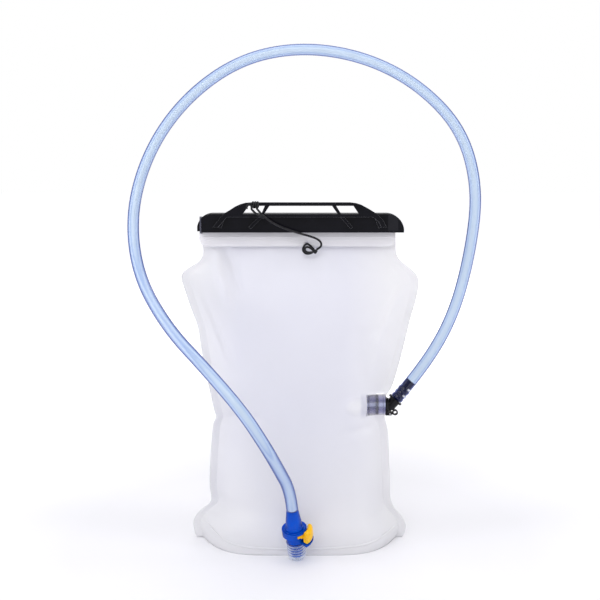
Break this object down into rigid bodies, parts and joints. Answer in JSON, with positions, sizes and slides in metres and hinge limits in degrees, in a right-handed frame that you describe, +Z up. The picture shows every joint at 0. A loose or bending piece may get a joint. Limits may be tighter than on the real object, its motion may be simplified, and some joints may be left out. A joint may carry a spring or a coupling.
{
  "type": "hydration bladder",
  "caption": "Soft drinking-water reservoir with a slide-off top closure, hanging handle, side quick-release port, elbow, drinking hose and bite valve with a shut-off lever.",
  "frame": {"origin": "middle of the base's footprint, on the floor", "axes": "+X to the side with the hose port, +Y to the back, +Z up towards the slide closure"},
  "size_m": [0.3067, 0.1519, 0.4319],
  "materials": {
    "bag_film": "frosted translucent film",
    "mouth_film": "frosted translucent, thicker",
    "black_plastic": "moulded, satin gloss",
    "clear_plastic": "clear moulded",
    "tinted_plastic": "tinted translucent",
    "seal_rubber": "matte",
    "spring_steel": "drawn wire",
    "hose_blue": "translucent, smooth",
    "blue_plastic": "moulded, satin",
    "yellow_plastic": "moulded, satin",
    "clear_silicone": "clear, soft",
    "black_cord": "braided"
  },
  "bodies": {
    "bag": {"front_panel": "bag_film", "rear_panel": "bag_film", "base_gusset": "bag_film", "mouth_band": "mouth_film", "mouth_rail_front": "mouth_film", "mouth_rail_rear": "mouth_film", "valve_cage": "clear_plastic", "poppet_spring": "spring_steel", "port_socket": "tinted_plastic", "tether_loop": "black_cord", "tether_knot": "black_cord"},
    "slider": {"slider_bar": "black_plastic", "hanging_handle": "black_plastic", "tether_hitch": "black_cord", "tether_cord": "black_cord"},
    "poppet": {"valve_poppet": "clear_plastic", "poppet_seal": "seal_rubber"},
    "plug": {"plug_spigot": "black_plastic", "plug_o_ring": "seal_rubber", "latch_pin": "spring_steel"},
    "catch": {"release_lever": "black_plastic"},
    "hose_line": {"elbow_fitting": "black_plastic", "swivel_o_ring": "seal_rubber", "drinking_hose": "hose_blue", "bite_valve_body": "blue_plastic", "lever_housing": "blue_plastic", "shutoff_o_ring": "seal_rubber", "flow_core": "blue_plastic", "mouthpiece": "clear_silicone"},
    "shutoff": {"shutoff_lever": "yellow_plastic"}
  },
  "joints": [
    {"name": "slider_slide", "type": "slide", "parent": "bag", "child": "slider", "axis": [1, 0, 0], "range_m": [0, 0.12], "deforming": ["tether_cord"]},
    {"name": "plug_release", "type": "slide", "parent": "bag", "child": "plug", "axis": [1, 0, 0], "range_m": [0, 0.03]},
    {"name": "poppet_travel", "type": "slide", "parent": "bag", "child": "poppet", "axis": [1, 0, 0], "range_m": [0, 0.003], "deforming": ["poppet_spring"]},
    {"name": "catch_press", "type": "hinge", "parent": "plug", "child": "catch", "pos_m": [0.0782, 0, 0.1132], "axis": [0, 1, 0], "range_deg": [0, 8], "stiffness_Nm_per_rad": 0.02},
    {"name": "elbow_swivel", "type": "hinge", "parent": "plug", "child": "hose_line", "pos_m": [0.0789, 0, 0.1205], "axis": [1, 0, 0], "range_deg": [-30, 0]},
    {"name": "shutoff_turn", "type": "hinge", "parent": "hose_line", "child": "shutoff", "pos_m": [-0.0023, -0.0505, 0.0019], "axis": [-0.0837, -0.3059, 0.9484], "range_deg": [0, 90]}
  ],
  "couplings": [
    {"joint": "poppet_travel", "follows": "plug_release", "ratio": 0.1}
  ]
}
